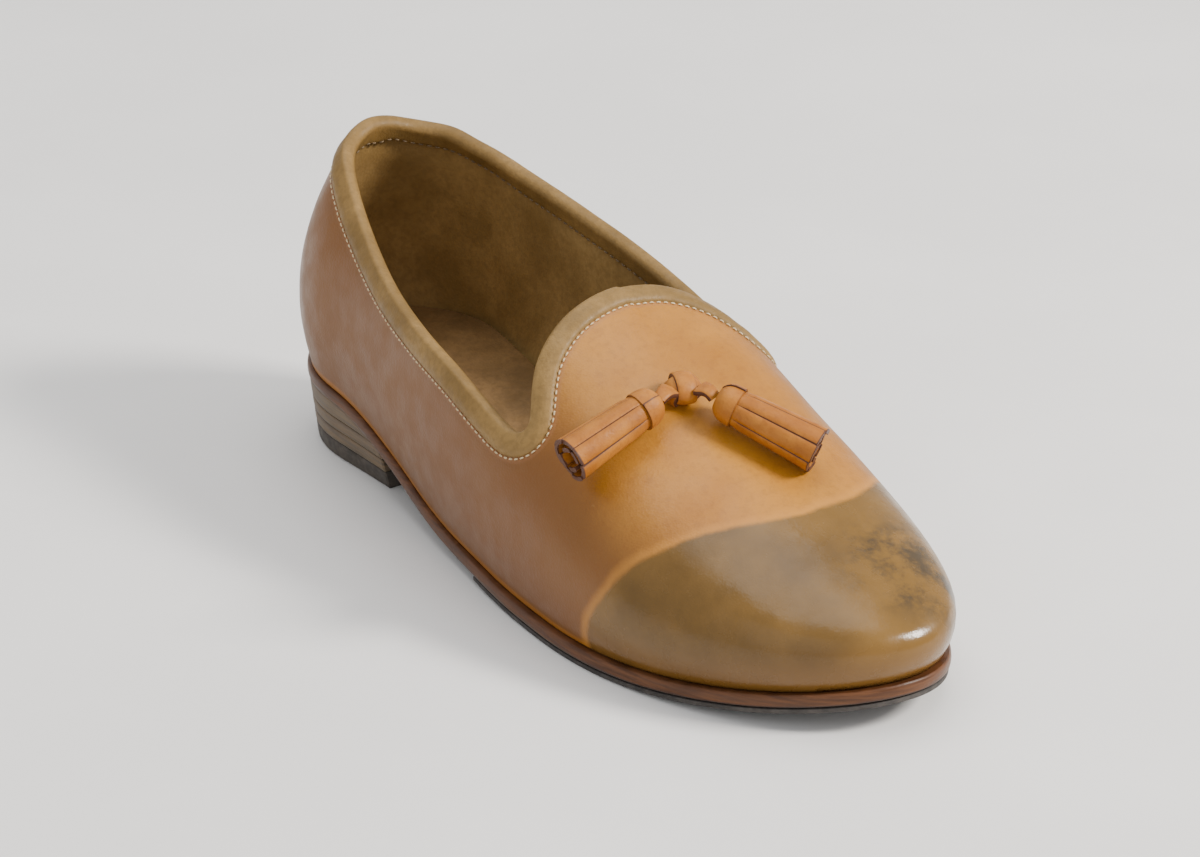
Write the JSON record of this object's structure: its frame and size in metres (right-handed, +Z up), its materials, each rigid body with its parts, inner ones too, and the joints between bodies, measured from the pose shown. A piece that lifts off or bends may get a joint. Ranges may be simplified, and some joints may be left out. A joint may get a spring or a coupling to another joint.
{
  "type": "tassel loafer",
  "caption": "Right-foot leather slip-on loafer with a bound topline, a darker dyed toe, loose tassels on the vamp and a low stacked heel.",
  "frame": {"origin": "centre of the bounding box in plan, on the ground under sole and heel", "axes": "+Z up, heel to +Y, toe to -Y, outer (lateral) side of the foot to -X, inner side to +X"},
  "size_m": [0.0892, 0.2564, 0.0909],
  "materials": {
    "upper_leather": "burnished satin",
    "lining_leather": "matt",
    "sock_leather": "matt",
    "binding_leather": "satin",
    "tassel_leather": "satin with dark cut edges",
    "sole_leather": "burnished edge",
    "heel_leather": "waxed stack",
    "sole_rubber": "matt",
    "heel_rubber": "matt",
    "filler_cork": "granulated cork",
    "insole_board": "fibre board",
    "stiffener_board": "stiffened fibre",
    "shank_steel": "spring steel",
    "nail_brass": "plain"
  },
  "bodies": {
    "shoe": {"outsole": "sole_leather", "half_sole": "sole_rubber", "heel_top_piece": "heel_rubber", "heel_nail_1": "nail_brass", "heel_nail_2": "nail_brass", "heel_nail_3": "nail_brass", "heel_nail_4": "nail_brass", "heel_nail_5": "nail_brass", "heel_lift_1": "heel_leather", "heel_lift_2": "heel_leather", "heel_lift_3": "heel_leather", "bottom_filler": "filler_cork", "shank": "shank_steel", "insole": "insole_board", "sock_lining": "sock_leather", "upper": "upper_leather", "heel_counter": "stiffener_board", "toe_puff": "stiffener_board", "vamp_lining": "lining_leather", "quarter_lining": "lining_leather", "topline_binding": "binding_leather", "thong_knot": "tassel_leather"},
    "lace_lateral": {"lace_end_lateral": "tassel_leather"},
    "tassel_lateral": {"collar_lateral": "tassel_leather", "fringe_lateral": "tassel_leather"},
    "lace_medial": {"lace_end_medial": "tassel_leather"},
    "tassel_medial": {"collar_medial": "tassel_leather", "fringe_medial": "tassel_leather"}
  },
  "joints": [
    {"name": "lateral_swing", "type": "hinge", "parent": "shoe", "child": "lace_lateral", "pos_m": [-0.00895, -0.04249, 0.06433], "axis": [-0.3037, -0.3872, 0.8705], "range_deg": [-15, 15]},
    {"name": "lateral_lift", "type": "hinge", "parent": "lace_lateral", "child": "tassel_lateral", "pos_m": [-0.0128, -0.04433, 0.06395], "axis": [-0.1291, 0.922, 0.3651], "range_deg": [0, 60]},
    {"name": "medial_swing", "type": "hinge", "parent": "shoe", "child": "lace_medial", "pos_m": [-0.00064, -0.04673, 0.06433], "axis": [-0.0084, -0.3939, 0.9191], "range_deg": [-15, 15]},
    {"name": "medial_lift", "type": "hinge", "parent": "lace_medial", "child": "tassel_medial", "pos_m": [0.00034, -0.04967, 0.06306], "axis": [-0.8649, -0.4584, -0.2044], "range_deg": [0, 60]}
  ]
}
